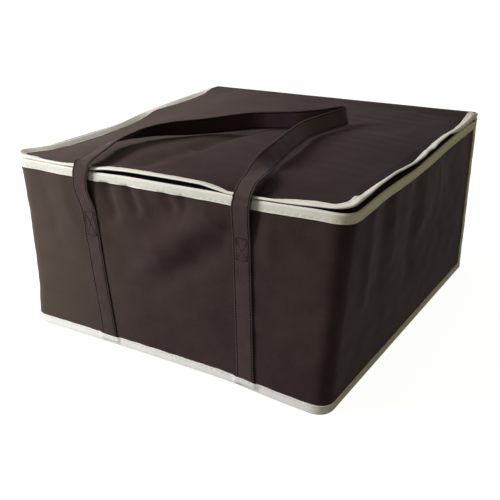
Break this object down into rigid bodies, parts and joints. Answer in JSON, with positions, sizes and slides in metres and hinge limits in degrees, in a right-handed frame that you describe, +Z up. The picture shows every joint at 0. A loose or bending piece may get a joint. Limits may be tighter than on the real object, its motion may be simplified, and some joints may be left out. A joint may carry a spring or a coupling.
{
  "type": "insulated carrying bag",
  "caption": "Square soft insulated bag with a zipped lid hinged along its back edge, foil lining, pale binding and a webbing handle on the front and on the back.",
  "frame": {"origin": "centre of the bottom face, on the floor", "axes": "+Z up, -Y out of the front wall with the handle that lies over the lid, +Y out of the back wall where the lid folds, +X towards the right seen from the front"},
  "size_m": [0.5076, 0.5236, 0.2911],
  "materials": {
    "cloth": "dark brown non-woven polypropylene, embossed, matt with a slight sheen",
    "webbing": "dark brown woven webbing, 25 mm wide",
    "binding": "cream binding tape, stitched through",
    "foil": "silver foil bonded to a thin foam backing",
    "foam": "white expanded polyethylene foam",
    "board": "grey plastic stiffening board",
    "zip_tape": "black woven zip tape",
    "zip_coil": "black nylon coil",
    "slider_metal": "black painted zinc"
  },
  "bodies": {
    "bag_body": {"side_wall_shell": "cloth", "back_wall_shell": "cloth", "bottom_shell": "cloth", "base_board": "board", "bottom_foam": "foam", "bottom_liner": "foil", "front_wall_foam": "foam", "left_wall_foam": "foam", "right_wall_foam": "foam", "back_wall_foam": "foam", "side_wall_liner": "foil", "back_wall_liner": "foil", "bottom_binding": "binding", "rim_binding": "binding", "back_left_binding": "binding", "back_right_binding": "binding", "body_zip_tape": "zip_tape", "body_zip_coil": "zip_coil", "front_left_strap": "webbing", "front_right_strap": "webbing", "back_left_strap": "webbing", "back_right_strap": "webbing", "hinge_fold": "cloth"},
    "lid": {"lid_shell": "cloth", "lid_foam": "foam", "lid_liner": "foil", "lid_binding": "binding", "lid_zip_tape": "zip_tape", "lid_zip_coil": "zip_coil"},
    "front_handle": {"front_handle_loop": "webbing"},
    "back_handle": {"back_handle_loop": "webbing"},
    "zip_slider": {"zip_slider": "slider_metal"},
    "zip_pull": {"zip_pull_tab": "slider_metal"}
  },
  "joints": [
    {"name": "lid_hinge", "type": "hinge", "parent": "bag_body", "child": "lid", "pos_m": [0, 0.25, 0.2565], "axis": [-1, 0, 0], "range_deg": [0, 110], "deforming": ["hinge_fold", "front_handle_loop"]},
    {"name": "front_handle_swing", "type": "hinge", "parent": "bag_body", "child": "front_handle", "pos_m": [-0.1075, -0.25205, 0.2], "axis": [0.9999, 0.0164, 0], "range_deg": [0, 150]},
    {"name": "back_handle_swing", "type": "hinge", "parent": "bag_body", "child": "back_handle", "pos_m": [0, 0.25205, 0.2005], "axis": [1, 0, 0], "range_deg": [0, 150]},
    {"name": "zip_slide", "type": "slide", "parent": "bag_body", "child": "zip_slider", "axis": [0, -1, 0], "range_m": [0, 0.43], "deforming": ["body_zip_coil", "lid_zip_coil"]},
    {"name": "zip_pull_swing", "type": "hinge", "parent": "zip_slider", "child": "zip_pull", "pos_m": [-0.2452, 0.229, 0.25375], "axis": [0, 0, -1], "range_deg": [0, 150]}
  ]
}
